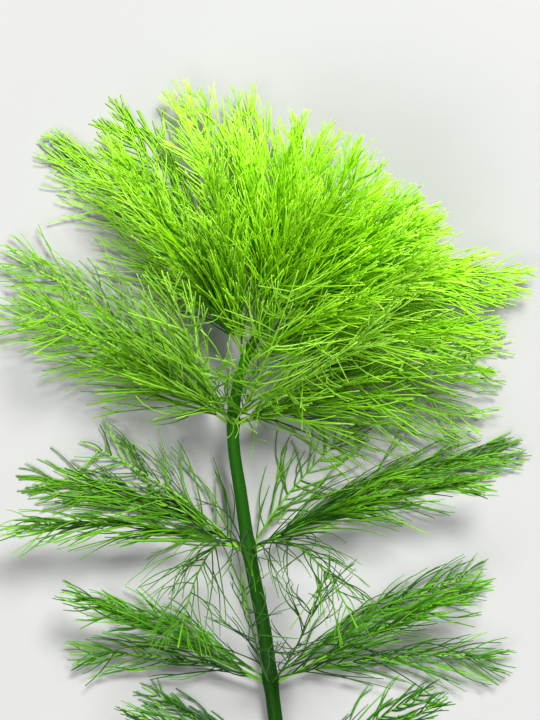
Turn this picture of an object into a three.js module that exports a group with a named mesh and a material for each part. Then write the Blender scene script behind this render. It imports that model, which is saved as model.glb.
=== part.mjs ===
// A cut stem of water milfoil that lies on a flat surface, in millimetres.
// +X is to its right, +Y runs along it to the growing tip, and +Z is up from the surface.
// The stem carries whorls of long feathered leaves. In each whorl some leaves stand free
// and the rest, which would point down, lie spread out flat on the surface.
import * as THREE from 'three';
import { mergeVertices } from 'three/addons/utils/BufferGeometryUtils.js';

// Clear space between neighbouring pieces
const GAP = 0.3;

// The stem: points that its middle line passes through, from the cut end to the tip
const STEM_GUIDES = [
  [5.4, -67.7, 1.7],
  [4.0, -55.7, 3.2],
  [2.5, -43.7, 4.7],
  [1.0, -31.7, 6.2],
  [-1.3, -19.7, 7.7],
  [-3.1, -7.7, 9.2],
  [-4.5, 4.3, 10.6],
  [-2.6, 16.3, 11.8],
  [2.9, 25.3, 12.8],
  [9.7, 32.2, 13.6],
];
const STEM_RADIUS_AT_CUT = 1.32;
const STEM_RADIUS_AT_TIP = 0.42;
const NODE_SWELLING = 0.18;
const NODE_LENGTH = 1.6;
const STEM_SIDES = 10;
const STEM_RINGS = 26;

// A leaf, as shares of its own length
const LONGEST_THREAD_SHARE = 0.42;
const FIRST_THREAD_AT = 0.15;
const LAST_THREAD_AT = 0.92;
const POINT_AT = 1.06;

// A thread's length by its place on the leaf: it is a share of the longest at the stem, grows
// by the next number along the leaf, and shortens again by the last two towards the tip
const THREAD_AT_STEM = 0.6;
const THREAD_GROWS = 1.6;
const THREAD_SHORTENS = 0.72;
const THREAD_SHORTENS_LATE = 2.4;

// No two free leaves are quite alike: their lengths vary by this share, their slopes by
// this many degrees
const LENGTH_VARIES = 0.06;
const SLOPE_VARIES = 3;

// A leaf's midrib has a three-sided section, flat underneath
const RIB_WIDTH_AT_BASE = 0.8;
const RIB_WIDTH_AT_TIP = 0.5;
const RIB_HEIGHT_AT_BASE = 0.6;
const RIB_HEIGHT_AT_TIP = 0.4;

// The threads stand in pairs along the midrib and lean towards its tip
const THREAD_PAIRS = 9;
const THREAD_FOOT = 1.1;
const THREAD_LEAN = THREE.MathUtils.degToRad(22);
const SHORTEST_THREAD = 3;
const TRIM_STEP = 0.5;

// Rings of the midrib from the stem to the first pair of threads
const BARE_RINGS = 3;

// How far the leaves at the stem's sides turn their upper face to the sky
const SIDE_TWIST = THREE.MathUtils.degToRad(52);

// A leaf that lies on the surface comes down to it over this share of its length
const DESCENT_SHARE = 0.32;
const LAYER_HEIGHT = 1.0;

// How far a lying leaf bends aside from its heading, at the base and at the tip
const LAID_BEND = 10;

// Where on the stem a lying leaf starts, in degrees round it from its right side
const LAID_STARTS = { right: [-24, -62], left: [-118, -156] };

// The whorls, from the cut end to the tip.
// at: place on the stem, counted in the spaces between its guide points
// lean: how far the whorl leans left from the stem's own direction, in degrees
// rise: slope of the free leaves towards the tip, at their base and at their end, in degrees
// droop: how much lower the end of a free leaf hangs that faces the sky, in degrees
// free: directions of the free leaves round the stem, in degrees from its right side
// right, left: heading and length of each lying leaf, the outer one first
// layer: how many lying leaves are underneath
const WHORLS = [
  {
    at: 0.44, lean: -4, length: 31, rise: [40, 30], droop: 0, free: [14, 70, 164],
    right: [[12, 37], [36, 31]], left: [[142, 30], [166, 34]], layer: 0,
  },
  {
    at: 2.22, lean: -8, length: 39, rise: [30, 16], droop: -35, free: [12, 76, 100, 168],
    right: [[5, 39], [27, 40]], left: [[155, 33], [172, 33]], layer: 2,
  },
  {
    at: 4.23, lean: -5, length: 43, rise: [28, 10], droop: 56, free: [10, 66, 106, 170],
    right: [[20, 48], [48, 30]], left: [[163, 40], [146, 33]], layer: 0,
  },
  {
    at: 6.12, lean: -4, length: 43, rise: [32, 12], droop: -40, free: [6, 46, 76, 112, 168],
    right: [[1, 42], [11, 45]], left: [[143, 49], [154, 44]], layer: 2,
  },
  {
    at: 7.17, lean: 0, length: 42, rise: [42, 22], droop: -34, free: [10, 50, 90, 130, 168],
    right: [[3, 43], [20, 42]], left: [[119, 48], [132, 49]], layer: 0,
  },
  {
    at: 8.0, lean: 8, length: 34, rise: [52, 34], droop: -26, free: [14, 50, 86, 122, 162],
    right: [[9, 43], [34, 33]], left: [[98, 38], [113, 41]], layer: 4,
  },
  {
    at: 8.45, lean: 5, length: 28, rise: [62, 46], droop: -20, free: [20, 72, 122, 172],
    right: [[27, 29], [50, 26]], left: [[76, 29]], layer: 6,
  },
];

// From this whorl on the leaves are young and yellow-green
const FIRST_YOUNG_WHORL = 5;

// The bud at the tip: a slim rod whose rings grow smaller, with two tiers of young leaves
const TIP_SIDES = 6;
const TIP_RINGS = [[0, 0.7], [2, 0.55], [3.5, 0.45]];
const TIP_POINT = 10;
const TIP_TIERS = [{ reach: 15, spread: 5.5 }, { reach: 14, spread: 3 }];

const LEAF_GREEN = 0x5fae1c;
const YOUNG_GREEN = 0x93d62a;
const STEM_GREEN = 0x2c680a;

// A steady stand-in for chance, from -1 to 1
function chance(seed) {
  const turned = Math.sin(seed * 12.9898) * 43758.5453;
  return 2 * (turned - Math.floor(turned)) - 1;
}

// The stem's middle line, place being counted in spaces between the guide points

const stemLine = new THREE.CatmullRomCurve3(
  STEM_GUIDES.map((guide) => new THREE.Vector3(...guide)), false, 'catmullrom', 0.5,
);
const STEM_SPACES = STEM_GUIDES.length - 1;

function stemFrame(place) {
  const point = stemLine.getPoint(place / STEM_SPACES);
  const ahead = stemLine.getTangent(place / STEM_SPACES).normalize();
  const right = new THREE.Vector3().crossVectors(ahead, new THREE.Vector3(0, 0, 1)).normalize();
  const up = new THREE.Vector3().crossVectors(right, ahead);
  return { point, ahead, right, up };
}

function stemRadius(place) {
  const share = place / STEM_SPACES;
  const taper = (STEM_RADIUS_AT_CUT - STEM_RADIUS_AT_TIP) * share ** 3;
  const { point } = stemFrame(place);
  let swelling = 0;
  for (const whorl of WHORLS) {
    const distance = point.distanceTo(stemFrame(whorl.at).point);
    swelling += NODE_SWELLING * Math.exp(-((distance / NODE_LENGTH) ** 2));
  }
  return (STEM_RADIUS_AT_CUT - taper) * (1 + Math.min(swelling, NODE_SWELLING));
}

function ringPlace(ring) {
  return (ring / STEM_RINGS) * STEM_SPACES;
}

// A turned rod, each ring of which is then carried to its place on the middle line
function stemGeometry() {
  const profile = [new THREE.Vector2(0, 0)];
  for (let ring = 0; ring <= STEM_RINGS; ring += 1) {
    const place = ringPlace(ring);
    profile.push(new THREE.Vector2(stemRadius(place), place));
  }
  profile.push(new THREE.Vector2(0, STEM_SPACES));
  const rod = new THREE.LatheGeometry(profile, STEM_SIDES);
  rod.deleteAttribute('normal');
  rod.deleteAttribute('uv');
  const geometry = mergeVertices(rod, 1e-4);
  const positions = geometry.attributes.position;
  for (let i = 0; i < positions.count; i += 1) {
    const { point, right, up } = stemFrame(positions.getY(i));
    point.addScaledVector(right, positions.getX(i));
    point.addScaledVector(up, positions.getZ(i));
    positions.setXYZ(i, point.x, point.y, point.z);
  }
  return geometry;
}

// Leaves. Each has a frame of its own: x away from the stem, y towards the tip of the stem.
// Its midrib is an arc in that xy plane, whose slope goes from bend[0] to bend[1].

function ease(share) {
  const clipped = THREE.MathUtils.clamp(share, 0, 1);
  return clipped * clipped * (3 - 2 * clipped);
}

// A point on the leaf, in its own frame: along the midrib, aside from it and off its face
function leafPoint(leaf, along, aside, off) {
  const [start, end] = leaf.bend;
  const share = THREE.MathUtils.clamp(along / leaf.length, 0, 1);
  const angle = start + (end - start) * share;
  const beyond = along - share * leaf.length;
  const reach = leaf.length / (end - start);
  const x = reach * (Math.sin(angle) - Math.sin(start)) + beyond * Math.cos(angle);
  const y = reach * (Math.cos(start) - Math.cos(angle)) + beyond * Math.sin(angle);
  const z = -leaf.descent * ease(share / DESCENT_SHARE);
  const inPlane = new THREE.Vector3(-Math.sin(angle), Math.cos(angle), 0);
  const across = new THREE.Vector3(0, 0, 1);
  const side = across.clone().multiplyScalar(Math.cos(leaf.roll));
  side.addScaledVector(inPlane, Math.sin(leaf.roll));
  const face = inPlane.clone().multiplyScalar(Math.cos(leaf.roll));
  face.addScaledVector(across, -Math.sin(leaf.roll));
  return new THREE.Vector3(x, y, z).addScaledVector(side, aside).addScaledVector(face, off);
}

function freeLeaf(whorl, number, index) {
  const stem = stemFrame(whorl.at);
  const lean = THREE.MathUtils.degToRad(whorl.lean);
  const axis = stem.ahead.clone().applyAxisAngle(new THREE.Vector3(0, 0, 1), lean);
  const right = new THREE.Vector3().crossVectors(axis, stem.up).normalize();
  const up = new THREE.Vector3().crossVectors(right, axis);
  const seed = number * 20 + index;
  const round = THREE.MathUtils.degToRad(whorl.free[index]);
  const away = right.multiplyScalar(Math.cos(round)).addScaledVector(up, Math.sin(round));
  const tilt = SLOPE_VARIES * chance(seed + 0.5);
  const [riseAtBase, riseAtEnd] = whorl.rise;
  const slopes = [riseAtBase + tilt, riseAtEnd + tilt - whorl.droop * Math.sin(round)];
  const base = stem.point.clone().addScaledVector(away, clearOfStem(whorl.at));
  return {
    length: whorl.length * (1 + LENGTH_VARIES * chance(seed)),
    bend: slopes.map(THREE.MathUtils.degToRad),
    roll: -SIDE_TWIST * Math.cos(round),
    descent: 0,
    place: placement(base, away, axis),
  };
}

function laidLeaf(whorl, start, heading, length, layer) {
  const stem = stemFrame(whorl.at);
  const round = THREE.MathUtils.degToRad(start);
  const away = stem.right.multiplyScalar(Math.cos(round)).addScaledVector(stem.up, Math.sin(round));
  const base = stem.point.clone().addScaledVector(away, clearOfStem(whorl.at));
  const floor = layer * LAYER_HEIGHT;
  base.z = Math.max(base.z, floor);
  const turn = heading < 90 ? LAID_BEND : -LAID_BEND;
  const bend = [heading + turn, heading - turn];
  return {
    length,
    bend: bend.map(THREE.MathUtils.degToRad),
    roll: -Math.PI / 2,
    descent: base.z - floor,
    place: placement(base, new THREE.Vector3(1, 0, 0), new THREE.Vector3(0, 1, 0)),
  };
}

function clearOfStem(at) {
  return stemRadius(at) + GAP + RIB_HEIGHT_AT_BASE / 2;
}

function placement(base, away, axis) {
  const across = new THREE.Vector3().crossVectors(away, axis);
  return new THREE.Matrix4().makeBasis(away, axis, across).setPosition(base);
}

function whorlLeaves(whorl, number) {
  const leaves = whorl.free.map((_, index) => freeLeaf(whorl, number, index));
  whorl.right.forEach(([heading, length], index) => {
    const layer = whorl.layer + 1 - index;
    leaves.push(laidLeaf(whorl, LAID_STARTS.right[index], heading, length, layer));
  });
  whorl.left.forEach(([heading, length], index) => {
    const layer = whorl.layer + index;
    leaves.push(laidLeaf(whorl, LAID_STARTS.left[index], heading, length, layer));
  });
  leaves.forEach((leaf, index) => {
    leaf.name = `whorl_${number}_leaf_${index + 1}`;
    leaf.color = number < FIRST_YOUNG_WHORL ? LEAF_GREEN : YOUNG_GREEN;
  });
  return leaves;
}

function ribWidth(share) {
  return THREE.MathUtils.lerp(RIB_WIDTH_AT_BASE, RIB_WIDTH_AT_TIP, share);
}

function ribHeight(share) {
  return THREE.MathUtils.lerp(RIB_HEIGHT_AT_BASE, RIB_HEIGHT_AT_TIP, share);
}

// How long a thread is that starts at this share of the leaf
function threadLength(leaf, share) {
  const grown = Math.min(1, THREAD_AT_STEM + THREAD_GROWS * share);
  const left = 1 - THREAD_SHORTENS * share ** THREAD_SHORTENS_LATE;
  return leaf.length * LONGEST_THREAD_SHARE * grown * left;
}

function pairShare(pair) {
  return THREE.MathUtils.lerp(FIRST_THREAD_AT, LAST_THREAD_AT, pair / (THREAD_PAIRS - 1));
}

// The threads of a leaf: where on the midrib each starts, and its tip in the part's frame
function plannedThreads(leaf) {
  const threads = [];
  for (let pair = 0; pair < THREAD_PAIRS; pair += 1) {
    const share = pairShare(pair);
    for (const hand of [-1, 1]) {
      threads.push({ leaf, pair, share, hand, length: threadLength(leaf, share) });
    }
  }
  return threads;
}

function threadTip({ leaf, share, hand, length }) {
  const along = share * leaf.length + length * Math.cos(THREAD_LEAN);
  return leafPoint(leaf, along, hand * length * Math.sin(THREAD_LEAN), 0);
}

// A thread as a straight tapered rod in the part's frame
function threadSegment(thread) {
  const { leaf, share } = thread;
  const from = leafPoint(leaf, share * leaf.length, 0, ribHeight(share) / 3);
  return {
    from: from.applyMatrix4(leaf.place),
    to: threadTip(thread).applyMatrix4(leaf.place),
    radii: [THREAD_FOOT / 3, 0],
  };
}

// The midrib as short straight rods, to keep the threads of other leaves clear of it
function ribSegments(leaf) {
  const points = [];
  for (let pair = -1; pair < THREAD_PAIRS; pair += 1) {
    const share = pair < 0 ? 0 : pairShare(pair);
    const point = leafPoint(leaf, share * leaf.length, 0, RIB_HEIGHT_AT_BASE / 3);
    points.push(point.applyMatrix4(leaf.place));
  }
  const radius = RIB_WIDTH_AT_BASE / 2;
  return points.slice(1).map((to, i) => ({ from: points[i], to, radii: [radius, radius] }));
}

function stemSegments() {
  const segments = [];
  for (let ring = 0; ring < STEM_RINGS; ring += 1) {
    const places = [ringPlace(ring), ringPlace(ring + 1)];
    const [from, to] = places.map((place) => stemFrame(place).point);
    segments.push({ from, to, radii: places.map(stemRadius) });
  }
  return segments;
}

// The space between two tapered rods, measured where their middle lines come closest
function clearance(a, b) {
  const { clamp, lerp } = THREE.MathUtils;
  const alongA = a.to.clone().sub(a.from);
  const alongB = b.to.clone().sub(b.from);
  const between = a.from.clone().sub(b.from);
  const lengthA = alongA.lengthSq();
  const lengthB = alongB.lengthSq();
  const both = alongA.dot(alongB);
  const onto = [alongA.dot(between), alongB.dot(between)];
  const spread = lengthA * lengthB - both * both;
  const first = clamp((both * onto[1] - lengthB * onto[0]) / spread, 0, 1);
  const shareB = clamp((both * first + onto[1]) / lengthB, 0, 1);
  const shareA = clamp((both * shareB - onto[0]) / lengthA, 0, 1);
  const pointA = a.from.clone().addScaledVector(alongA, shareA);
  const pointB = b.from.clone().addScaledVector(alongB, shareB);
  const radii = lerp(a.radii[0], a.radii[1], shareA) + lerp(b.radii[0], b.radii[1], shareB);
  return pointA.distanceTo(pointB) - radii;
}

function boxOf(segment) {
  const box = new THREE.Box3().setFromPoints([segment.from, segment.to]);
  return box.expandByScalar(Math.max(...segment.radii) + GAP);
}

// Shortens each thread until it is clear of the other leaves, or leaves it off if none fits
function fitThreads(leaves) {
  const taken = stemSegments().map((segment) => ({ segment, box: boxOf(segment), leaf: null }));
  for (const leaf of leaves) {
    for (const segment of ribSegments(leaf)) {
      taken.push({ segment, box: boxOf(segment), leaf });
    }
  }
  for (const leaf of leaves) {
    leaf.threads = [];
    for (const thread of plannedThreads(leaf)) {
      let segment = threadSegment(thread);
      const meets = (other) => other.leaf !== leaf
        && other.box.intersectsBox(boxOf(segment))
        && clearance(segment, other.segment) < GAP;
      while (thread.length > SHORTEST_THREAD && taken.some(meets)) {
        thread.length -= TRIM_STEP;
        segment = threadSegment(thread);
      }
      if (thread.length > SHORTEST_THREAD) {
        leaf.threads.push(thread);
        taken.push({ segment, box: boxOf(segment), leaf });
      }
    }
  }
}

// A closed mesh is collected as points and triangles
class Shell {
  constructor() {
    this.points = [];
    this.faces = [];
  }

  point(vector) {
    this.points.push(vector);
    return this.points.length - 1;
  }

  face(...corners) {
    for (let i = 2; i < corners.length; i += 1) {
      this.faces.push(corners[0], corners[i - 1], corners[i]);
    }
  }

  // A pyramid stands on the corners, given anticlockwise as seen from outside
  spike(corners, top) {
    const apex = this.point(top);
    corners.forEach((corner, i) => {
      this.face(corner, corners[(i + 1) % corners.length], apex);
    });
  }

  geometry() {
    const geometry = new THREE.BufferGeometry().setFromPoints(this.points);
    geometry.setIndex(this.faces);
    geometry.computeVertexNormals();
    return geometry;
  }
}

// One leaf: a three-sided midrib, on whose two sloping sides the threads stand as spikes
function leafGeometry(leaf) {
  const shell = new Shell();
  const ring = (along) => {
    const share = along / leaf.length;
    const half = ribWidth(share) / 2;
    return [
      shell.point(leafPoint(leaf, along, -half, 0)),
      shell.point(leafPoint(leaf, along, half, 0)),
      shell.point(leafPoint(leaf, along, 0, ribHeight(share))),
    ];
  };
  const join = (near, far, threadAt) => {
    shell.face(near[0], far[0], far[1], near[1]);
    for (const hand of [-1, 1]) {
      const sides = hand < 0
        ? [near[0], near[2], far[2], far[0]]
        : [near[1], far[1], far[2], near[2]];
      const thread = threadAt(hand);
      if (thread) {
        shell.spike(sides, threadTip(thread));
      } else {
        shell.face(...sides);
      }
    }
  };
  const none = () => undefined;
  const base = ring(0);
  let last = base;
  for (let bare = 1; bare < BARE_RINGS; bare += 1) {
    const next = ring((bare / BARE_RINGS) * FIRST_THREAD_AT * leaf.length);
    join(last, next, none);
    last = next;
  }
  for (let pair = 0; pair < THREAD_PAIRS; pair += 1) {
    const middle = pairShare(pair) * leaf.length;
    const foot = ring(middle - THREAD_FOOT / 2);
    join(last, foot, none);
    last = ring(middle + THREAD_FOOT / 2);
    join(foot, last, (hand) => leaf.threads.find((t) => t.pair === pair && t.hand === hand));
  }
  shell.face(...base);
  shell.spike([last[0], last[2], last[1]], leafPoint(leaf, POINT_AT * leaf.length, 0, 0));
  return shell.geometry();
}

// The bud, along its own y axis
function tipGeometry() {
  const shell = new Shell();
  const around = (side, radius, height) => {
    const angle = (side / TIP_SIDES) * 2 * Math.PI;
    return new THREE.Vector3(radius * Math.cos(angle), height, -radius * Math.sin(angle));
  };
  const rings = TIP_RINGS.map(([height, radius]) => {
    const corners = [];
    for (let side = 0; side < TIP_SIDES; side += 1) {
      corners.push(shell.point(around(side, radius, height)));
    }
    return corners;
  });
  TIP_TIERS.forEach(({ reach, spread }, tier) => {
    const [lower, upper] = [rings[tier], rings[tier + 1]];
    for (let side = 0; side < TIP_SIDES; side += 1) {
      const next = (side + 1) % TIP_SIDES;
      const foot = [lower[side], lower[next], upper[next], upper[side]];
      shell.spike(foot, around(side + 0.5, spread, reach));
    }
  });
  shell.face(...[...rings[0]].reverse());
  shell.spike(rings[2], new THREE.Vector3(0, TIP_POINT, 0));
  return shell.geometry();
}

function waxy(color) {
  return new THREE.MeshStandardMaterial({ color, roughness: 0.45, metalness: 0 });
}

function stemMesh() {
  const mesh = new THREE.Mesh(stemGeometry(), waxy(STEM_GREEN));
  mesh.name = 'stem';
  return mesh;
}

function tipMesh() {
  const mesh = new THREE.Mesh(tipGeometry(), waxy(YOUNG_GREEN));
  mesh.name = 'growing_tip';
  const { point, ahead } = stemFrame(STEM_SPACES);
  mesh.position.copy(point).addScaledVector(ahead, GAP);
  mesh.quaternion.setFromUnitVectors(new THREE.Vector3(0, 1, 0), ahead);
  return mesh;
}

function leafMesh(leaf) {
  const mesh = new THREE.Mesh(leafGeometry(leaf), waxy(leaf.color));
  mesh.name = leaf.name;
  mesh.applyMatrix4(leaf.place);
  return mesh;
}

const leaves = WHORLS.flatMap((whorl, index) => whorlLeaves(whorl, index + 1));
fitThreads(leaves);

const plant = new THREE.Group();
plant.add(stemMesh(), tipMesh(), ...leaves.map(leafMesh));

export default plant;
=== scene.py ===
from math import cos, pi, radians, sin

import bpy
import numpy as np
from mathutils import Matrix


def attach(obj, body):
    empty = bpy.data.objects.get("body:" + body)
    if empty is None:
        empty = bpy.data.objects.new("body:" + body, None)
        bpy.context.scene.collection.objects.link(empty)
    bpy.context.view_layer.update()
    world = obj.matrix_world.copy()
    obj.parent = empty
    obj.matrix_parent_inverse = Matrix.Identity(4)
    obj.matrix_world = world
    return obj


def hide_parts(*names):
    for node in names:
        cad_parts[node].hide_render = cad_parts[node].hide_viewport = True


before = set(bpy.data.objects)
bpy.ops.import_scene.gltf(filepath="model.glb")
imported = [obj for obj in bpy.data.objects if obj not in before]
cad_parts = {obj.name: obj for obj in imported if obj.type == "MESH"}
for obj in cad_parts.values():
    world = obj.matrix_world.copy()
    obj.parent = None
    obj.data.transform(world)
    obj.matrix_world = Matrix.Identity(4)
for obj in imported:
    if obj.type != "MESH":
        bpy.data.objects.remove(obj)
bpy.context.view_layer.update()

# The looks of a cut stem of water milfoil that lies on a pale surface: its stem, its growing
# tip, and whorls of leaves whose midribs carry dozens of hair-thin forked threads.
# Sizes are in millimetres and angles in degrees, until MM or radians() turns them.

MM = 0.001

# The stem: points that its middle line passes through, from the cut end to the tip
STEM_GUIDES = np.array([
    [5.4, -67.7, 1.7],
    [4.0, -55.7, 3.2],
    [2.5, -43.7, 4.7],
    [1.0, -31.7, 6.2],
    [-1.3, -19.7, 7.7],
    [-3.1, -7.7, 9.2],
    [-4.5, 4.3, 10.6],
    [-2.6, 16.3, 11.8],
    [2.9, 25.3, 12.8],
    [9.7, 32.2, 13.6],
])
STEM_SPACES = len(STEM_GUIDES) - 1
STEM_RADIUS_AT_CUT = 1.32
STEM_RADIUS_AT_TIP = 0.42
STEM_TAPER_POWER = 3

# The stem swells by this share at each node, over this length to each side
NODE_SWELLING = 0.18
NODE_LENGTH = 1.6

# Between the stem and the foot of a leaf
GAP = 0.3

# The leaves, as in the solid model
RIB_HEIGHT_AT_BASE = 0.6
LONGEST_THREAD_SHARE = 0.42
POINT_AT = 1.06

# No two free leaves are quite alike: their lengths vary by this share, their slopes by
# this many degrees
LENGTH_VARIES = 0.06
SLOPE_VARIES = 3

# How far the leaves at the stem's sides turn their upper face to the sky
SIDE_TWIST = 52

# A leaf that lies on the surface comes down to it over this share of its length
DESCENT_SHARE = 0.32
LAYER_HEIGHT = 1.0

# How far a lying leaf bends aside from its heading, at the base and at the tip
LAID_BEND = 10

# Where on the stem the outer and the inner lying leaf start, round it from its right side,
# and how many layers each is above the whorl's lowest
LAID_STARTS = {"right": (-24, -62), "left": (-118, -156)}
LAID_LAYERS = {"right": (1, 0), "left": (0, 1)}

# The whorls, from the cut end to the tip.
# at: place on the stem, counted in the spaces between its guide points
# lean: how far the whorl leans left from the stem's own direction
# rise: slope of the free leaves towards the tip, at their base and at their end
# droop: how much lower the end of a free leaf hangs that faces the sky
# free: directions of the free leaves round the stem, from its right side
# right, left: heading and length of each lying leaf, the outer one first
# layer: how many lying leaves are underneath
WHORLS = [
    dict(at=0.44, lean=-4, length=31, rise=(40, 30), droop=0, free=(14, 70, 164),
         right=((12, 37), (36, 31)), left=((142, 30), (166, 34)), layer=0),
    dict(at=2.22, lean=-8, length=39, rise=(30, 16), droop=-35, free=(12, 76, 100, 168),
         right=((5, 39), (27, 40)), left=((155, 33), (172, 33)), layer=2),
    dict(at=4.23, lean=-5, length=43, rise=(28, 10), droop=56, free=(10, 66, 106, 170),
         right=((20, 48), (48, 30)), left=((163, 40), (146, 33)), layer=0),
    dict(at=6.12, lean=-4, length=43, rise=(32, 12), droop=-40, free=(6, 46, 76, 112, 168),
         right=((1, 42), (11, 45)), left=((143, 49), (154, 44)), layer=2),
    dict(at=7.17, lean=0, length=42, rise=(42, 22), droop=-34, free=(10, 50, 90, 130, 168),
         right=((3, 43), (20, 42)), left=((119, 48), (132, 49)), layer=0),
    dict(at=8.0, lean=8, length=34, rise=(52, 34), droop=-26, free=(14, 50, 86, 122, 162),
         right=((9, 43), (34, 33)), left=((98, 38), (113, 41)), layer=4),
    dict(at=8.45, lean=5, length=28, rise=(62, 46), droop=-20, free=(20, 72, 122, 172),
         right=((27, 29), (50, 26)), left=((76, 29),), layer=6),
]
FIRST_YOUNG_WHORL = 5

# Seeds to a whorl, one for each leaf: for its place, as in the solid model, and for its threads
PLACE_SEEDS = 20
THREAD_SEEDS = 100

# A sine of seeds is scattered by these numbers, as in the solid model
SCATTER_TURN = 12.9898
SCATTER_SIZE = 43758.5453


# Small helpers

def unit(vectors):
    """The vectors at length 1."""
    return vectors / np.linalg.norm(vectors, axis=-1, keepdims=True)


def blend(start, end, share):
    return start + (end - start) * share


def ease(share):
    clipped = np.clip(share, 0, 1)
    return clipped * clipped * (3 - 2 * clipped)


def chance(seed):
    """A steady stand-in for chance, from -1 to 1, the same as in the solid model."""
    turned = sin(seed * SCATTER_TURN) * SCATTER_SIZE
    return 2 * (turned % 1) - 1


# The stem's middle line

def stem_line(places):
    """Points on the stem's middle line, and its direction there."""
    first = 2 * STEM_GUIDES[0] - STEM_GUIDES[1]
    last = 2 * STEM_GUIDES[-1] - STEM_GUIDES[-2]
    guides = np.vstack([first, STEM_GUIDES, last])
    places = np.atleast_1d(np.asarray(places, float))
    space = np.minimum(places.astype(int), STEM_SPACES - 1)
    t = (places - space)[:, None]
    before, here, there, after = (guides[space + i] for i in range(4))
    slope_here = (there - before) / 2
    slope_there = (after - here) / 2
    square = 3 * (there - here) - 2 * slope_here - slope_there
    cube = 2 * (here - there) + slope_here + slope_there
    points = here + slope_here * t + square * t ** 2 + cube * t ** 3
    ahead = unit(slope_here + 2 * square * t + 3 * cube * t ** 2)
    return points, ahead


def stem_frame(place):
    """The point, and the directions ahead, right and up, at one place on the stem."""
    points, aheads = stem_line(place)
    ahead = aheads[0]
    right = unit(np.cross(ahead, [0, 0, 1]))
    return points[0], ahead, right, np.cross(right, ahead)


def distance_to_node(points, whorl):
    return np.linalg.norm(points - stem_line(whorl["at"])[0], axis=1)


def stem_radius(places):
    points, _ = stem_line(places)
    share = np.atleast_1d(places) / STEM_SPACES
    taper = (STEM_RADIUS_AT_CUT - STEM_RADIUS_AT_TIP) * share ** STEM_TAPER_POWER
    swelling = 0
    for whorl in WHORLS:
        distance = distance_to_node(points, whorl)
        swelling = swelling + NODE_SWELLING * np.exp(-(distance / NODE_LENGTH) ** 2)
    return (STEM_RADIUS_AT_CUT - taper) * (1 + np.minimum(swelling, NODE_SWELLING))


def clear_of_stem(place):
    return stem_radius(place)[0] + GAP + RIB_HEIGHT_AT_BASE / 2


# Leaves. Each has a frame of its own: x away from the stem, y towards the tip of the stem.
# Its midrib is an arc in that xy plane, whose slope goes from bend[0] to bend[1].

class Leaf:
    def __init__(self, number, index, base, axes, length, bend, roll,
                 habit, descent=0.0, lies=False):
        self.node = f"whorl_{number}_leaf_{index + 1}"
        self.seed = number * THREAD_SEEDS + index + 1
        self.base = base
        self.axes = axes
        self.length = length
        self.bend = [radians(angle) for angle in bend]
        self.roll = roll
        self.descent = descent
        self.lies = lies
        self.habit = HABITS[habit]
        self.growth = GROWTH[number - 1]

    def point(self, along, aside, off):
        """Points of the part: along the midrib, aside from it and off the leaf's face."""
        start, end = self.bend
        share = np.clip(along / self.length, 0, 1)
        angle = blend(start, end, share)
        beyond = along - share * self.length
        reach = self.length / (end - start)
        x = reach * (np.sin(angle) - sin(start)) + beyond * np.cos(angle)
        y = reach * (cos(start) - np.cos(angle)) + beyond * np.sin(angle)
        z = -self.descent * ease(share / DESCENT_SHARE)
        in_plane = aside * sin(self.roll) + off * cos(self.roll)
        x = x - np.sin(angle) * in_plane
        y = y + np.cos(angle) * in_plane
        z = z + aside * cos(self.roll) - off * sin(self.roll)
        return self.base + np.stack([x, y, z], axis=-1) @ self.axes


def leaf_axes(away, axis):
    return np.array([away, axis, np.cross(away, axis)])


def free_leaf(whorl, number, index):
    point, ahead, _, up = stem_frame(whorl["at"])
    lean = radians(whorl["lean"])
    axis = np.array([
        ahead[0] * cos(lean) - ahead[1] * sin(lean),
        ahead[0] * sin(lean) + ahead[1] * cos(lean),
        ahead[2],
    ])
    right = unit(np.cross(axis, up))
    sky = np.cross(right, axis)
    round_stem = radians(whorl["free"][index])
    away = right * cos(round_stem) + sky * sin(round_stem)
    seed = number * PLACE_SEEDS + index
    tilt = SLOPE_VARIES * chance(seed + 0.5)
    at_base, at_end = whorl["rise"]
    return Leaf(
        number, index,
        base=point + away * clear_of_stem(whorl["at"]),
        axes=leaf_axes(away, axis),
        length=whorl["length"] * (1 + LENGTH_VARIES * chance(seed)),
        bend=(at_base + tilt, at_end + tilt - whorl["droop"] * sin(round_stem)),
        roll=-radians(SIDE_TWIST) * cos(round_stem),
        habit=free_habit(number, sin(round_stem)),
    )


def free_habit(number, towards_sky):
    """How a free leaf grows, by how much it leaves the stem towards the sky."""
    if towards_sky > FACES_SKY[number - 1]:
        return FACING_SKY[number - 1]
    return "beside" if towards_sky < BESIDE_STEM[number - 1] else "free"


def laid_leaf(whorl, number, index, side, place):
    """A lying leaf of the whorl: the outer one of its side at place 0, the inner one at 1."""
    point, _, right, up = stem_frame(whorl["at"])
    heading, length = whorl[side][place]
    round_stem = radians(LAID_STARTS[side][place])
    away = right * cos(round_stem) + up * sin(round_stem)
    base = point + away * clear_of_stem(whorl["at"])
    floor = (whorl["layer"] + LAID_LAYERS[side][place]) * LAYER_HEIGHT
    base[2] = max(base[2], floor)
    turn = LAID_BEND if heading < 90 else -LAID_BEND
    return Leaf(
        number, index,
        base=base,
        axes=leaf_axes(np.array([1.0, 0, 0]), np.array([0, 1.0, 0])),
        length=length,
        bend=(heading + turn, heading - turn),
        roll=-pi / 2,
        descent=base[2] - floor,
        lies=True,
        habit=LYING_HABITS.get((number, side, place), "lying"),
    )


def whorl_leaves(whorl, number):
    leaves = [free_leaf(whorl, number, index) for index in range(len(whorl["free"]))]
    for side in ("right", "left"):
        for place in range(len(whorl[side])):
            leaves.append(laid_leaf(whorl, number, len(leaves), side, place))
    return leaves


# Meshes made of closed tubes, each through a row of points

# How far the ends of a tube stand out, as shares of its radius there
START_ROUNDING = 0.5
END_ROUNDING = 0.8


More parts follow.
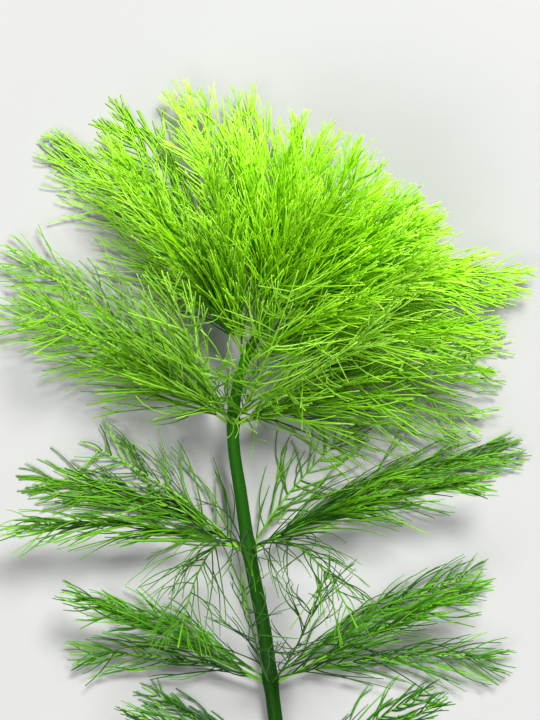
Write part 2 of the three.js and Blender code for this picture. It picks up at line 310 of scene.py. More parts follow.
def tube_points(lines, radii, sides, rounding):
    """The points of each tube: its rings, then its start and its end."""
    along = unit(np.gradient(lines, axis=1))
    course = unit(lines[:, -1] - lines[:, 0])
    aside = np.eye(3)[np.argmin(np.abs(course), axis=1)][:, None, :]
    first = unit(np.cross(along, aside))
    second = np.cross(along, first)
    angles = np.arange(sides) * 2 * pi / sides
    spokes = (first[:, :, None] * np.cos(angles)[:, None]
              + second[:, :, None] * np.sin(angles)[:, None])
    skin = lines[:, :, None] + spokes * radii[:, :, None, None]
    start = lines[:, 0] - along[:, 0] * radii[:, :1] * rounding
    end = lines[:, -1] + along[:, -1] * radii[:, -1:] * END_ROUNDING
    return np.concatenate([skin.reshape(len(lines), -1, 3), start[:, None], end[:, None]], axis=1)


def tube_faces(rings, sides):
    """The quads between the rings of one tube, and the triangles at its ends."""
    ring, side = np.meshgrid(np.arange(rings - 1), np.arange(sides), indexing="ij")
    here = (ring * sides + side).ravel()
    across = (ring * sides + (side + 1) % sides).ravel()
    quads = np.stack([here, across, across + sides, here + sides], axis=-1)
    turn = np.arange(sides)
    after = (turn + 1) % sides
    last = (rings - 1) * sides
    start = rings * sides
    at_start = np.stack([np.full(sides, start), after, turn], axis=-1)
    at_end = np.stack([last + turn, last + after, np.full(sides, start + 1)], axis=-1)
    return quads, np.vstack([at_start, at_end])


class Tubes:
    """Collects closed tubes, with values at each point that the materials read."""

    def __init__(self):
        self.points = []
        self.quads = []
        self.triangles = []
        self.values = {}
        self.count = 0

    def add(self, lines, radii, sides, values, rounding=START_ROUNDING):
        """Adds tubes whose start stands out by the rounding.

        lines: tubes x rings x 3, radii: tubes x rings, values: name to tubes x rings.
        """
        tubes, rings = radii.shape
        points = tube_points(lines, radii, sides, rounding)
        quads, triangles = tube_faces(rings, sides)
        each = points.shape[1]
        offset = self.count + np.arange(tubes)[:, None, None] * each
        self.points.append(points.reshape(-1, 3))
        self.quads.append((offset + quads).reshape(-1, 4))
        self.triangles.append((offset + triangles).reshape(-1, 3))
        for name, value in values.items():
            spread = np.repeat(value, sides, axis=1)
            whole = np.concatenate([spread, value[:, :1], value[:, -1:]], axis=1)
            self.values.setdefault(name, []).append(whole.ravel())
        self.count += tubes * each

    def mesh(self, name):
        """One mesh of all the tubes: smooth along them and flat at their ends."""
        points = np.vstack(self.points) * MM
        quads = np.vstack(self.quads)
        triangles = np.vstack(self.triangles)
        corners = np.concatenate([quads.ravel(), triangles.ravel()])
        starts = np.concatenate([
            np.arange(len(quads)) * 4,
            len(quads) * 4 + np.arange(len(triangles)) * 3,
        ])
        mesh = bpy.data.meshes.new(name)
        mesh.vertices.add(len(points))
        mesh.vertices.foreach_set("co", points.astype(np.float32).ravel())
        mesh.loops.add(len(corners))
        mesh.loops.foreach_set("vertex_index", corners.astype(np.int32))
        mesh.polygons.add(len(starts))
        mesh.polygons.foreach_set("loop_start", starts.astype(np.int32))
        mesh.polygons.foreach_set("use_smooth", np.arange(len(starts)) < len(quads))
        mesh.update(calc_edges=True)
        for key, parts in self.values.items():
            attribute = mesh.attributes.new(key, "FLOAT", "POINT")
            attribute.data.foreach_set("value", np.concatenate(parts).astype(np.float32))
        return mesh


def piece(name, mesh, material, slot, *nodes):
    """A piece of the plant that stands for these nodes of the solid model."""
    mesh.materials.append(material)
    made = bpy.data.objects.new(name, mesh)
    bpy.context.scene.collection.objects.link(made)
    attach(made, "root")
    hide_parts(*nodes)


# The midrib
RIB_SIDES = 8
RIB_RINGS = 30
RIB_RADIUS_AT_BASE = 0.23
RIB_TAPER_POWER = 0.6

# Radius of the midrib's end, as a share of the threads' radius
RIB_END_SHARE = 0.8

# How far the midrib goes on into the stem
RIB_ROOT = 0.5

# The midrib's colour: at its base as that of a thread this far out, and by a luck in this range
RIB_REACH_AT_BASE = 0.6
RIB_LUCK = (0.85, 1.35)

# Where threads leave the midrib, as shares of the leaf, and how far off the leaf's face
FIRST_THREAD_AT = 0.02
LAST_THREAD_AT = 0.95
THREAD_START_OFF = 0.2

# The shape of a thread and of a branch: how early it turns from its angle at the foot to the
# one at its end, how many waves its sway has, and how late it tapers
MAIN_RINGS = 8
FORK_RINGS = 6
THREAD_SIDES = 5
THREAD_CURL = 1.6
WAVES = 0.8
THREAD_TAPER_POWER = 1.5

# A thread's length by its place on the leaf, as in the solid model: it grows by the first
# number along the leaf, and shortens again by the last two towards the tip
THREAD_GROWS = 1.6
THREAD_SHORTENS = 0.72
THREAD_SHORTENS_LATE = 2.4

# Threads open by this share of their angle at the leaf's foot, and fully from this place on
FOOT_OPENS = 0.5
FULLY_OPEN_AT = 0.3

# Threads near a leaf's tip open wider like a comb, by a share of this angle that differs
# from leaf to leaf
COMB_TURN = 12
COMB_SHARES = (0.1, 1)
COMB_LATE = 4

# Wide threads stand out further by this angle, and by this share more of it at their end.
# They sway less, and are fresher in colour.
WIDE_TURN = 22
WIDE_AT_END = 0.4
WIDE_SWAY = 0.3
WIDE_FRESHER = 0.15

# How threads differ by chance. Single numbers are spreads, and pairs are lowest and highest,
# but the lift of a free leaf's threads has a spread at their foot and one at their end.
OPENS_DIFFER = 8
CLOSES_DIFFER = 13
FREE_LIFT = (18, 10)
LYING_LIFT = (0, 16)
LYING_FALL = (0.6, 1.0)
SWAY = 5
LUCK = (0.05, 1)
THICKNESS = (0.78, 1.12)

# A thread's length by chance: at most this share, and less by up to this one
LENGTH_AT_MOST = 1.08
LENGTH_LOST = 0.45

# Forks: where along a thread its first and its second one are, and whether most of them
# part outwards, at 1, or towards the midrib, at -1
FORKINGS = (
    dict(low=0.2, high=0.5, outward=1),
    dict(low=0.55, high=0.82, outward=-1),
)
MOST_FORKS = 0.8
SHORTEST_FORKED = 3.5

# A branch as shares of its thread: its length next to the rest of the thread, its thickness,
# and how near its foot is to a tip in colour
BRANCH_LENGTH = (0.75, 1.05)
BRANCH_THICKNESS = 0.88
BRANCH_TIP_AT_FOOT = 0.3

# A branch ends with this share of its thread's direction and this one of its own turn, and
# on a lying leaf it falls back by the last share of its lift
BRANCH_FOLLOWS = 0.5
BRANCH_KEEPS = 0.4
BRANCH_FALLS = 0.6

# Spreads of the angles at a branch's foot and at its end, in the leaf's face and out of it
BRANCH_TURNS_DIFFER = (5, 6)
BRANCH_LIFTS_DIFFER = (10, 8)

# How leaves depart from their whorl's growth. Free leaves beside the stem are slimmer. Those
# that face the sky are sparse in the lowest whorls and darker as painted shade, then a net of
# threads made fresher as painted light, and then a veil of long, fine, deeper green ones,
# darker as painted shade. Lying leaves have few wide threads, but some are airy, and some fan
# out.
# fullness: share of the whorl's number of threads
# fresh, thick, long: their colour, thickness and length, as shares of the whorl's
# opener: how much wider they stand
# uneven: how much more they differ in direction
# wide: times the whorl's share of threads that stand out wide and straight
HABITS = {
    "free": dict(fullness=1, fresh=1, thick=1, long=1, opener=0, uneven=1, wide=1),
    "beside": dict(fullness=1, fresh=1, thick=1, long=1, opener=-8, uneven=1, wide=0.3),
    # The low fresh of sparse and veil leaves paints shade on them, and the high fresh of net
    # leaves paints light
    "sparse": dict(fullness=0.5, fresh=0.5, thick=0.75, long=1.1, opener=8, uneven=1.4, wide=1),
    "net": dict(fullness=0.9, fresh=1.7, thick=0.9, long=1.05, opener=0, uneven=1.5, wide=2),
    "veil": dict(fullness=0.8, fresh=0.6, thick=0.85, long=1.25, opener=-5, uneven=0.8, wide=1),
    "lying": dict(fullness=1, fresh=1, thick=1, long=1, opener=0, uneven=1, wide=0.3),
    "airy": dict(fullness=0.55, fresh=0.95, thick=1, long=1.1, opener=0, uneven=1.2, wide=0.6),
    "fanned": dict(fullness=0.65, fresh=1.1, thick=1, long=1, opener=0, uneven=1.9, wide=6),
}

# For each whorl: the habit of its leaves that face the sky, the least that such a leaf
# leaves the stem upwards, and the most that one beside the stem does, from 0 level with the
# stem to 1 straight up
FACING_SKY = ("sparse", "sparse", "sparse", "net", "veil", "veil", "veil")
FACES_SKY = (0.8, 0.8, 0.8, 0.6, 0.8, 0.8, 0.8)
BESIDE_STEM = (0.3, 0.3, 0.3, 0.0, 0.3, 0.3, 0.3)

# Habits of single lying leaves, by whorl, side, and place from the outer one
LYING_HABITS = {
    (3, "right", 1): "fanned",
    (3, "left", 1): "fanned",
    (4, "right", 0): "airy",
    (4, "right", 1): "airy",
    (5, "right", 0): "airy",
}

# The threads of each whorl's leaves. Angles are measured from the midrib.
# first: where the first pair starts, as a share of the leaf
# foot: length of the first threads, as a share of the longest
# pairs: pairs of threads to a millimetre of midrib
# crowding: over 1 where the pairs stand closer near the stem, under 1 near the tip
# forks: shares of the threads that fork once and that fork again
# parts: angle between a branch and its thread
# wide: share of the threads that stand out wide and straight
# opens, closes: angle to the midrib at a thread's foot and at its end
# radius, taper: at a thread's foot, and how much of it is left at its end
# sag: how far a thread sinks towards the stem's cut end, per square millimetre of its length
GROWTH = (
    dict(first=0.05, foot=0.75, pairs=0.55, crowding=0.85, forks=(0.5, 0.2), parts=14,
         wide=0.1, opens=26, closes=1, radius=0.155, taper=0.55, sag=0.005),
    dict(first=0.05, foot=0.8, pairs=0.65, crowding=0.85, forks=(0.55, 0.2), parts=14,
         wide=0.1, opens=26, closes=1, radius=0.16, taper=0.55, sag=0.005),
    dict(first=0.04, foot=0.9, pairs=0.85, crowding=1.0, forks=(0.6, 0.25), parts=13,
         wide=0.1, opens=22, closes=0, radius=0.165, taper=0.55, sag=0.003),
    dict(first=0.05, foot=1.0, pairs=0.95, crowding=1.35, forks=(0.6, 0.25), parts=18,
         wide=0.35, opens=36, closes=2, radius=0.145, taper=0.65, sag=0.005),
    dict(first=0.05, foot=0.9, pairs=1.2, crowding=1.2, forks=(0.7, 0.6), parts=18,
         wide=0.15, opens=32, closes=0, radius=0.138, taper=0.75, sag=0.005),
    dict(first=0.03, foot=0.9, pairs=1.45, crowding=1.25, forks=(0.75, 0.7), parts=18,
         wide=0.1, opens=31, closes=0, radius=0.138, taper=0.78, sag=0.002),
    dict(first=0.03, foot=0.9, pairs=1.6, crowding=1.2, forks=(0.75, 0.7), parts=18,
         wide=0.1, opens=30, closes=0, radius=0.138, taper=0.78, sag=0.0),
)


class Rows:
    """Threads of a leaf as rows of points in its own measures: along, aside and off.

    facing and lifting are the threads' angles in the leaf's face and out of it, each at
    their foot and at their end. wave is how far they sway, and where their wave starts.
    walked is the way from the midrib to their foot, and then to each of their points.
    """

    def __init__(self, start, facing, lifting, length, wave, rings, walked, thick, luck):
        t = (np.arange(rings - 1) + 0.5) / (rings - 1)
        amount, phase = wave
        sway = amount[:, None] * np.sin(2 * pi * (WAVES * t + phase[:, None]))
        turned = 1 - (1 - t) ** THREAD_CURL
        face = np.radians(blend(facing[0][:, None], facing[1][:, None], turned) + sway)
        lift = np.radians(blend(lifting[0][:, None], lifting[1][:, None], t))
        step = np.stack([
            np.cos(lift) * np.cos(face),
            np.cos(lift) * np.sin(face),
            np.sin(lift),
        ], axis=-1) * (length / (rings - 1))[:, None, None]
        at_start = np.zeros((len(length), 1, 3))
        self.points = start[:, None] + np.concatenate([at_start, np.cumsum(step, axis=1)], axis=1)
        self.length = length
        self.wave = wave
        self.walked = walked[:, None] + length[:, None] * np.linspace(0, 1, rings)
        self.thick = thick
        self.luck = luck

    def at(self, chosen, share):
        """The point, its directions and the way walked, at a share of the chosen threads."""
        place = share * (self.points.shape[1] - 1)
        low = np.minimum(place.astype(int), self.points.shape[1] - 2)
        part = (place - low)[:, None]
        point = blend(self.points[chosen, low], self.points[chosen, low + 1], part)
        step = self.points[chosen, low + 1] - self.points[chosen, low]
        face = np.degrees(np.arctan2(step[:, 1], step[:, 0]))
        lift = np.degrees(np.arcsin(step[:, 2] / np.linalg.norm(step, axis=1)))
        return point, face, lift, blend(self.walked[chosen, 0], self.walked[chosen, -1], share)


def thread_places(leaf, rng):
    """Where each thread leaves the midrib, as a share of the leaf, and on which side."""
    growth = leaf.growth
    pairs = round(leaf.length * growth["pairs"] * leaf.habit["fullness"])
    spread = np.linspace(0, 1, pairs) ** growth["crowding"]
    share = np.repeat(blend(growth["first"], LAST_THREAD_AT, spread), 2)
    share = share + rng.uniform(-0.5, 0.5, len(share)) / pairs
    return np.clip(share, FIRST_THREAD_AT, LAST_THREAD_AT), np.tile([-1.0, 1.0], pairs)


def thread_lengths(leaf, rng, share):
    grown = np.minimum(1, leaf.growth["foot"] + THREAD_GROWS * share)
    shortened = 1 - THREAD_SHORTENS * share ** THREAD_SHORTENS_LATE
    length = leaf.length * LONGEST_THREAD_SHARE * grown * shortened
    lucky = LENGTH_AT_MOST - LENGTH_LOST * rng.uniform(0, 1, len(share)) ** 2
    return length * lucky * leaf.habit["long"]


def thread_facing(leaf, rng, share, hand, is_wide):
    """Angles of the threads in the leaf's face, at their foot and at their end."""
    growth = leaf.growth
    uneven = leaf.habit["uneven"]
    wide = WIDE_TURN * is_wide
    comb = COMB_TURN * rng.uniform(*COMB_SHARES) * share ** COMB_LATE
    narrow = blend(FOOT_OPENS, 1, np.minimum(1, share / FULLY_OPEN_AT))
    opener = leaf.habit["opener"] + wide + comb
    opens = growth["opens"] * narrow + opener + rng.normal(0, OPENS_DIFFER * uneven, len(share))
    closes = growth["closes"] + wide * WIDE_AT_END + opener
    closes = closes + rng.normal(0, CLOSES_DIFFER * uneven, len(share))
    return hand * opens, hand * closes


def thread_lifting(leaf, rng, count):
    """Angles of the threads out of the leaf's face, at their foot and at their end."""
    if leaf.lies:
        lift = rng.uniform(*LYING_LIFT, count)
        return lift, -lift * rng.uniform(*LYING_FALL, count)
    at_foot, at_end = FREE_LIFT
    return rng.normal(0, at_foot, count), rng.normal(0, at_end, count)


def main_threads(leaf, rng):
    """The threads that leave the midrib, and the side of it that each is on."""
    growth = leaf.growth
    habit = leaf.habit
    share, hand = thread_places(leaf, rng)
    count = len(share)
    length = thread_lengths(leaf, rng, share)
    is_wide = rng.uniform(0, 1, count) < growth["wide"] * habit["wide"]
    facing = thread_facing(leaf, rng, share, hand, is_wide)
    lifting = thread_lifting(leaf, rng, count)
    off = np.full(count, THREAD_START_OFF)
    start = np.stack([share * leaf.length, np.zeros(count), off], axis=-1)
    sway = rng.normal(0, SWAY * habit["uneven"], count) * np.where(is_wide, WIDE_SWAY, 1)
    wave = (sway, rng.uniform(0, 1, count))
    luck = rng.uniform(*LUCK, count) * habit["fresh"] + WIDE_FRESHER * is_wide
    thick = growth["radius"] * rng.uniform(*THICKNESS, count) * habit["thick"]
    walked = np.zeros(count)
    rows = Rows(start, facing, lifting, length, wave, MAIN_RINGS, walked, thick, luck)
    return rows, hand


def branches(leaf, rng, main, hand, forked, low, high, outward):
    """Branches of a share of the main threads, which leave them between low and high."""
    count = len(hand)
    forks = (rng.uniform(0, 1, count) < forked) & (main.length > SHORTEST_FORKED)
    chosen = np.flatnonzero(forks)
    some = len(chosen)
    at = rng.uniform(low, high, some)
    side = hand[chosen] * outward * np.where(rng.uniform(0, 1, some) < MOST_FORKS, 1, -1)
    point, face, lift, walked = main.at(chosen, at)
    turn = side * (leaf.growth["parts"] + rng.normal(0, BRANCH_TURNS_DIFFER[0], some))
    if leaf.lies:
        lift = np.abs(lift)
    else:
        lift = lift + rng.normal(0, BRANCH_LIFTS_DIFFER[0], some)
    face_at_end = face * BRANCH_FOLLOWS + turn * BRANCH_KEEPS
    face_at_end = face_at_end + rng.normal(0, BRANCH_TURNS_DIFFER[1], some)
    if leaf.lies:
        lift_at_end = -lift * BRANCH_FALLS
    else:
        lift_at_end = lift + rng.normal(0, BRANCH_LIFTS_DIFFER[1], some)
    return Rows(
        point,
        (face + turn, face_at_end),
        (lift, lift_at_end),
        main.length[chosen] * (1 - at) * rng.uniform(*BRANCH_LENGTH, some),
        (main.wave[0][chosen], main.wave[1][chosen]),
        FORK_RINGS,
        walked,
        main.thick[chosen] * BRANCH_THICKNESS,
        main.luck[chosen],
    )


def feathered(leaf):
    """The fine mesh of one leaf: its midrib, its threads and their branches."""
    rng = np.random.default_rng(leaf.seed)
    tubes = Tubes()
    add_rib(tubes, leaf, rng.uniform(*RIB_LUCK) * leaf.habit["fresh"])
    main, hand = main_threads(leaf, rng)
    add_threads(tubes, leaf, main, 0.0)
    for forked, forking in zip(leaf.growth["forks"], FORKINGS):
        rows = branches(leaf, rng, main, hand, forked, **forking)
        add_threads(tubes, leaf, rows, BRANCH_TIP_AT_FOOT)
    return tubes.mesh(f"{leaf.node}_feathered")


def add_rib(tubes, leaf, luck):
    back = GAP + RIB_HEIGHT_AT_BASE / 2 + RIB_ROOT
    along = np.linspace(-back, leaf.length * POINT_AT, RIB_RINGS)
    share = np.clip(along / leaf.length, 0, 1)
    radius_at_end = leaf.growth["radius"] * RIB_END_SHARE
    radii = blend(RIB_RADIUS_AT_BASE, radius_at_end, share ** RIB_TAPER_POWER)
    line = leaf.point(along, np.zeros_like(along), radii)
    tubes.add(line[None], radii[None], RIB_SIDES, {
        "reach": blend(RIB_REACH_AT_BASE, 1, share)[None],
        "tip": (share ** 2)[None],
        "luck": np.full((1, RIB_RINGS), luck),
    })


def add_threads(tubes, leaf, rows, tip_at_foot):
    """Carries rows of leaf measures to their place, lets them sag, and makes tubes of them.

    No thread goes below the surface that the plant lies on.
    """
    count, rings, _ = rows.points.shape
    along, aside, off = np.moveaxis(rows.points, -1, 0)
    t = np.linspace(0, 1, rings)
    radii = rows.thick[:, None] * blend(1, leaf.growth["taper"], t ** THREAD_TAPER_POWER)
    if leaf.lies:
        off = np.maximum(off, radii)
    lines = leaf.point(along, aside, off)
    lines[..., 1] -= leaf.growth["sag"] * rows.walked ** 2
    lines[..., 2] = np.maximum(lines[..., 2], radii)
    tubes.add(lines, radii, THREAD_SIDES, {
        "reach": np.clip(along / leaf.length, 0, 1),
        "tip": np.tile(blend(tip_at_foot, 1, t), (count, 1)),
        "luck": np.tile(rows.luck[:, None], (1, rings)),
    })


# The stem's fine skin
STEM_SIDES = 32
STEM_RINGS = 420
COLLAR_HEIGHT = 0.05
COLLAR_LENGTH = 0.45


def stem_mesh():
    """The stem with a faint raised ring at each node and a flat cut."""
    places = np.linspace(0, STEM_SPACES, STEM_RINGS)
    points, _ = stem_line(places)
    collar = np.zeros(STEM_RINGS)
    for whorl in WHORLS:
        distance = distance_to_node(points, whorl)
        collar = np.maximum(collar, np.exp(-(distance / COLLAR_LENGTH) ** 2))
    radii = stem_radius(places) + COLLAR_HEIGHT * collar
    tubes = Tubes()
    tubes.add(points[None], radii[None], STEM_SIDES, {
        "height": (places / STEM_SPACES)[None],
        "cut": (places == 0).astype(float)[None],
    }, rounding=0)
    return tubes.mesh("stem_fine")


# The bud at the tip: tiers of tiny leaves that still close over each other.
# reach: how far beyond the stem a tier's leaves end
# spread: how far from the stem's line they stand
# foot: how far beyond the stem they start
BUD_TIERS = (
    dict(leaves=7, reach=15.0, spread=5.2, foot=0.6),
    dict(leaves=6, reach=13.5, spread=3.2, foot=2.4),
    dict(leaves=4, reach=10.5, spread=1.3, foot=3.4),
)
BUD_SEED = 77

# Tiers that start further out are turned on, by the space between two leaves to this length
BUD_TURN_LENGTH = 5

# The bud's core: from where to where it goes along the stem's line, its radii and its colour
CORE_ENDS = (-1.0, 5.0)
CORE_RADII = (0.5, 0.3)
CORE_RINGS = 8
CORE_REACH = 0.3
CORE_LUCK = 0.5

# A bud leaf's midrib. Its way out is the sine of an arc that ends past its widest, at this
# share of half a turn.
BUD_ARC = 0.6
BUD_RIB_RINGS = 10
BUD_RIB_RADII = (0.24, 0.14)
BUD_RIB_LUCK = 0.7
BUD_REACH_AT_FOOT = 0.5

# A bud leaf's threads: their places along it, their lengths and how much shorter the last
# ones are, the angle at which they leave it and its spread, and how far they close inwards
BUD_PAIRS = 8
BUD_THREADS_AT = (0.25, 0.97)
BUD_THREAD_LENGTH = 3.2
BUD_THREAD_SHORTENS = 0.6
BUD_THREAD_VARIES = (0.8, 1.1)
BUD_THREAD_ANGLE = (34, 5)
BUD_THREAD_CLOSES = 0.25
BUD_THREAD_RADII = (0.15, 0.11)


def bud_mesh():
    point, ahead, right, up = stem_frame(STEM_SPACES)
    base = point + ahead * GAP
    rng = np.random.default_rng(BUD_SEED)
    tubes = Tubes()
    height = np.linspace(*CORE_ENDS, CORE_RINGS)
    core = base + height[:, None] * ahead
    tubes.add(core[None], np.linspace(*CORE_RADII, CORE_RINGS)[None], RIB_SIDES, {
        "reach": np.full((1, CORE_RINGS), CORE_REACH),
        "tip": np.zeros((1, CORE_RINGS)),
        "luck": np.full((1, CORE_RINGS), CORE_LUCK),
    })
    for tier in BUD_TIERS:
        foot = tier["foot"]
        for index in range(tier["leaves"]):
            turn = 2 * pi * (index + foot / BUD_TURN_LENGTH) / tier["leaves"]
            away = right * cos(turn) + up * sin(turn)
            length = tier["reach"] - foot
            add_bud_leaf(tubes, rng, base + ahead * foot, ahead, away, length, tier["spread"])
    return tubes.mesh("growing_tip_fine")


def bud_arc(share):
    """How far out a bud leaf is at a share of its length, as a share of its end's way out."""
    return np.sin(share * pi * BUD_ARC) / sin(pi * BUD_ARC)


def add_bud_leaf(tubes, rng, foot, ahead, away, length, spread):
    across = np.cross(away, ahead)
    t = np.linspace(0, 1, BUD_RIB_RINGS)
    rib = foot + ahead * (length * t)[:, None] + away * (spread * bud_arc(t))[:, None]
    tubes.add(rib[None], blend(*BUD_RIB_RADII, t)[None], THREAD_SIDES, {
        "reach": blend(BUD_REACH_AT_FOOT, 1, t)[None],
        "tip": np.zeros((1, BUD_RIB_RINGS)),
        "luck": np.full((1, BUD_RIB_RINGS), BUD_RIB_LUCK),
    })
    share = np.repeat(np.linspace(*BUD_THREADS_AT, BUD_PAIRS), 2)
    count = len(share)
    hand = np.tile([-1.0, 1.0], BUD_PAIRS)
    size = BUD_THREAD_LENGTH * (1 - BUD_THREAD_SHORTENS * share)
    size = size * rng.uniform(*BUD_THREAD_VARIES, count)
    start = foot + ahead * (length * share)[:, None] + away * (spread * bud_arc(share))[:, None]
    walk = np.linspace(0, 1, FORK_RINGS)
    lean = np.radians(rng.normal(*BUD_THREAD_ANGLE, count))
    forth = (size * np.cos(lean))[:, None] * walk
    aside = (size * np.sin(lean) * hand)[:, None] * np.sin(walk * pi / 2)
    inward = -(size * BUD_THREAD_CLOSES)[:, None] * walk ** 2
    rows = (start[:, None] + ahead * forth[..., None] + across * aside[..., None]
            + away * inward[..., None])
    radii = np.tile(blend(*BUD_THREAD_RADII, walk), (count, 1))
    tubes.add(rows, radii, THREAD_SIDES, {
        "reach": np.tile(blend(BUD_REACH_AT_FOOT, 1, share)[:, None], (1, FORK_RINGS)),
        "tip": np.tile(walk, (count, 1)),
        "luck": np.tile(rng.uniform(0, 1, (count, 1)), (1, FORK_RINGS)),
    })


# Materials
FINE_DETAIL = 3
GRAIN_STRENGTH = 0.5


class Nodes:
    """A material's nodes, added and joined by short calls."""

    def __init__(self, name):
        self.material = bpy.data.materials.new(name)
        self.material.use_nodes = True
        self.tree = self.material.node_tree
        self.shader = self.tree.nodes["Principled BSDF"]

    def add(self, kind, inputs=None, **settings):
        node = self.tree.nodes.new(kind)
        for key, value in settings.items():
            setattr(node, key, value)
        for key, value in (inputs or {}).items():
            if isinstance(value, bpy.types.NodeSocket):
                self.tree.links.new(value, node.inputs[key])
            else:
                node.inputs[key].default_value = value
        return node

    def value(self, name):
        return self.add("ShaderNodeAttribute", attribute_name=name).outputs["Fac"]

    def math(self, operation, first, second):
        return self.add("ShaderNodeMath", {0: first, 1: second}, operation=operation).outputs[0]

    def weighted(self, name, power, weight):
        """A power of a value that the mesh carries, times a weight."""
        return self.math("MULTIPLY", self.math("POWER", self.value(name), power), weight)

    def noise(self, scale, detail=2.0, stretch=1.0):
        """Noise with this many patches to a metre, drawn out along the stem by the stretch."""
        place = self.add("ShaderNodeMapping", {
            "Vector": self.add("ShaderNodeTexCoord").outputs["Object"],
            "Scale": (1.0, 1 / stretch, 1.0),
        })
        noise = self.add("ShaderNodeTexNoise", {
            "Vector": place.outputs["Vector"], "Scale": scale, "Detail": detail,
        })
        return noise.outputs["Fac"]

    def between(self, factor, low, high):
        made = self.add("ShaderNodeMapRange", {"Value": factor, "To Min": low, "To Max": high})
        return made.outputs["Result"]

    def ramp(self, factor, stops):
        node = self.add("ShaderNodeValToRGB", {"Fac": factor})
        elements = node.color_ramp.elements
        while len(elements) < len(stops):
            elements.new(0.5)
        for element, (place, color) in zip(elements, stops):
            element.position = place
            element.color = (*color, 1)
        return node.outputs["Color"]

    def join(self, output, name):
        self.tree.links.new(output, self.shader.inputs[name])

    def skin(self, rough_noise, rough, shine, grain_noise, grain_depth):
        """Uneven roughness, a weak shine, and a fine grain."""
        self.join(self.between(self.noise(rough_noise), *rough), "Roughness")
        self.shader.inputs["Specular IOR Level"].default_value = shine
        grain = self.add("ShaderNodeBump", {
            "Height": self.noise(grain_noise, FINE_DETAIL),
            "Distance": grain_depth * MM,
            "Strength": GRAIN_STRENGTH,
        })
        self.join(grain.outputs["Normal"], "Normal")


# The skins of the threads and of the stem: how fine the noise of their roughness and of
# their grain is, in patches to a metre, and how deep the grain is
THREAD_SKIN = dict(rough_noise=1500, rough=(0.3, 0.48), shine=0.22,
                   grain_noise=5000, grain_depth=0.03)
STEM_SKIN = dict(rough_noise=600, rough=(0.42, 0.58), shine=0.12,
                 grain_noise=2500, grain_depth=0.06)

# How a thread's green is found: the weights of its place on the leaf, which paints shade near
# the stem, of the way to its tip, which paints highlight towards it, of its luck and of a
# mottle, and where on their sum each green stands. The deep green is partly painted shade and
# the pale one partly painted highlight.
REACH_POWER = 0.7
REACH_SHADE_WEIGHT = 0.3
TIP_POWER = 2.0
TIP_HIGHLIGHT_WEIGHT = 0.2
LUCK_WEIGHT = 0.52
MOTTLE_NOISE = 700
MOTTLE_WEIGHT = 0.1
GREEN_STOPS = dict(deep=0.28, fresh=0.58, light=0.85, pale=1.0)

# Greens of the leaves in the oldest whorl and in the youngest, and how near each whorl is
# to the youngest. The lower whorls are darker partly with age and partly as painted shade,
# and the youngest are brighter partly as painted light from above.
OLD_SHADED_GREENS = dict(
    deep=(0.005, 0.042, 0.0005), fresh=(0.018, 0.13, 0.0006),
    light=(0.08, 0.35, 0.002), pale=(0.18, 0.52, 0.012),
)
YOUNG_LIT_GREENS = dict(
    deep=(0.022, 0.17, 0.001), fresh=(0.36, 0.85, 0.003),
    light=(0.5, 0.94, 0.04), pale=(0.6, 0.98, 0.12),
)
YOUTH_AND_LIGHT = (0.0, 0.06, 0.15, 0.36, 0.74, 1.0, 1.0)

# The stem's green: the weights of the height and of streaks along it, and the greens
HEIGHT_POWER = 2.0
HEIGHT_WEIGHT = 0.6
STREAK_NOISE = 2600
STREAK_STRETCH = 20
STREAK_WEIGHT = 0.26
STEM_GREENS = (
    (0.08, (0.004, 0.036, 0.0003)), (0.4, (0.012, 0.095, 0.0003)), (0.75, (0.05, 0.3, 0.001)),
)

# The inside that the cut shows, and the surface that the plant lies on
INSIDE_NOISE = 900
INSIDE_GREENS = ((0.3, (0.12, 0.3, 0.03)), (0.7, (0.2, 0.42, 0.06)))
FLOOR_NOISE = 6
FLOOR_GREYS = ((0.3, (0.45, 0.45, 0.44)), (0.7, (0.48, 0.48, 0.47)))
FLOOR_ROUGHNESS = 0.85


def whorl_greens(number):
    """Where each green of a whorl stands, and the green, darker towards the lowest whorl partly
    as painted shade.
    """
    youth_and_light = YOUTH_AND_LIGHT[number - 1]
    return [
        (stop, tuple(blend(np.array(OLD_SHADED_GREENS[name]), np.array(YOUNG_LIT_GREENS[name]), youth_and_light)))
        for name, stop in GREEN_STOPS.items()
    ]


def leaf_material(number):
    """Threads are deep green at the stem and fresh at their tips, each a little different, with
    painted shade near the stem and painted highlight at the tips.
    """
    nodes = Nodes(f"leaf_whorl_{number}")
    # Darker near the stem as painted shade, paler towards the tips as painted highlight
    place = nodes.weighted("reach", REACH_POWER, REACH_SHADE_WEIGHT)
    tip = nodes.weighted("tip", TIP_POWER, TIP_HIGHLIGHT_WEIGHT)
    luck = nodes.math("MULTIPLY", nodes.value("luck"), LUCK_WEIGHT)
    mottle = nodes.math("MULTIPLY", nodes.noise(MOTTLE_NOISE), MOTTLE_WEIGHT)
    factor = nodes.math("ADD", nodes.math("ADD", place, tip), nodes.math("ADD", luck, mottle))
    nodes.join(nodes.ramp(factor, whorl_greens(number)), "Base Color")
    nodes.skin(**THREAD_SKIN)
    return nodes.material


def stem_material():
    """Dark green that grows fresher towards the tip, and the paler inside on the cut."""
    nodes = Nodes("stem_skin")
    up = nodes.weighted("height", HEIGHT_POWER, HEIGHT_WEIGHT)
    streaks = nodes.noise(STREAK_NOISE, FINE_DETAIL, STREAK_STRETCH)
    streaks = nodes.math("MULTIPLY", streaks, STREAK_WEIGHT)
    mix = nodes.add("ShaderNodeMix", {
        "Factor": nodes.value("cut"),
        "A": nodes.ramp(nodes.math("ADD", up, streaks), STEM_GREENS),
        "B": nodes.ramp(nodes.noise(INSIDE_NOISE), INSIDE_GREENS),
    }, data_type="RGBA")
    nodes.join(mix.outputs["Result"], "Base Color")
    nodes.skin(**STEM_SKIN)
    return nodes.material


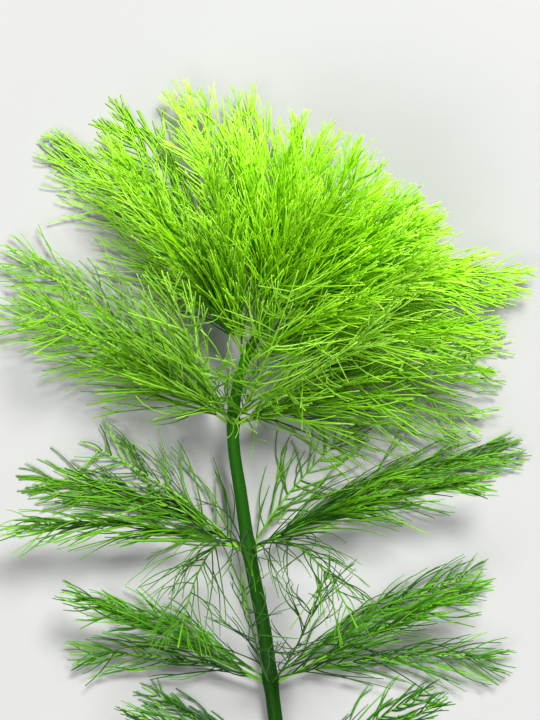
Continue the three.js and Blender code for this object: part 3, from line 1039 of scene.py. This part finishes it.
def floor_material():
    nodes = Nodes("pale_floor")
    nodes.join(nodes.ramp(nodes.noise(FLOOR_NOISE), FLOOR_GREYS), "Base Color")
    nodes.shader.inputs["Roughness"].default_value = FLOOR_ROUGHNESS
    return nodes.material


# The plant. Its bud has the material of the youngest whorl.

def build_plant():
    piece("stem_fine", stem_mesh(), stem_material(), "stem", "stem")
    materials = [leaf_material(number) for number in range(1, len(WHORLS) + 1)]
    for number, whorl in enumerate(WHORLS, start=1):
        slot = "leaf" if number < FIRST_YOUNG_WHORL else "young_leaf"
        for leaf in whorl_leaves(whorl, number):
            name = f"{leaf.node}_feathered"
            piece(name, feathered(leaf), materials[number - 1], slot, leaf.node)
    piece("growing_tip_fine", bud_mesh(), materials[-1], "young_leaf", "growing_tip")


# The stage, the light and the camera. The power of a light is in watts.
FLOOR_SIZE = 3000
CAMERA_AT = (2.1, 16.8, 458)
CAMERA_LENS = 125
CAMERA_SEES_FROM = 10
LIGHTS = (
    dict(name="key", at=(180, 440, 900), size=280, power=15.0),
    dict(name="fill", at=(-300, -400, 900), size=600, power=4.5),
)
SKY_COLOR = (0.95, 0.97, 1.0)
SKY_STRENGTH = 0.17


def add_stage():
    half = FLOOR_SIZE / 2 * MM
    mesh = bpy.data.meshes.new("floor")
    corners = [(-half, -half, 0), (half, -half, 0), (half, half, 0), (-half, half, 0)]
    mesh.from_pydata(corners, [], [(0, 1, 2, 3)])
    mesh.materials.append(floor_material())
    floor = bpy.data.objects.new("floor", mesh)
    bpy.context.scene.collection.objects.link(floor)


def add_light(name, at, size, power):
    """A round light that faces the middle of the plant's footprint."""
    data = bpy.data.lights.new(name, "AREA")
    data.shape = "DISK"
    data.size = size * MM
    data.energy = power
    light = bpy.data.objects.new(name, data)
    light.location = [value * MM for value in at]
    aim = light.location.copy()
    aim.negate()
    light.rotation_euler = aim.to_track_quat("-Z", "Y").to_euler()
    bpy.context.scene.collection.objects.link(light)


def add_camera():
    """A camera that looks straight down on the plant."""
    data = bpy.data.cameras.new("camera")
    data.lens = CAMERA_LENS
    data.clip_start = CAMERA_SEES_FROM * MM
    camera = bpy.data.objects.new("camera", data)
    camera.location = [value * MM for value in CAMERA_AT]
    bpy.context.scene.collection.objects.link(camera)
    bpy.context.scene.camera = camera


def add_world():
    world = bpy.data.worlds.new("soft_sky")
    world.use_nodes = True
    background = world.node_tree.nodes["Background"]
    background.inputs["Color"].default_value = (*SKY_COLOR, 1)
    background.inputs["Strength"].default_value = SKY_STRENGTH
    bpy.context.scene.world = world


bpy.context.scene.view_settings.view_transform = "Standard"
add_camera()
add_world()
add_stage()
for light in LIGHTS:
    add_light(**light)
build_plant()
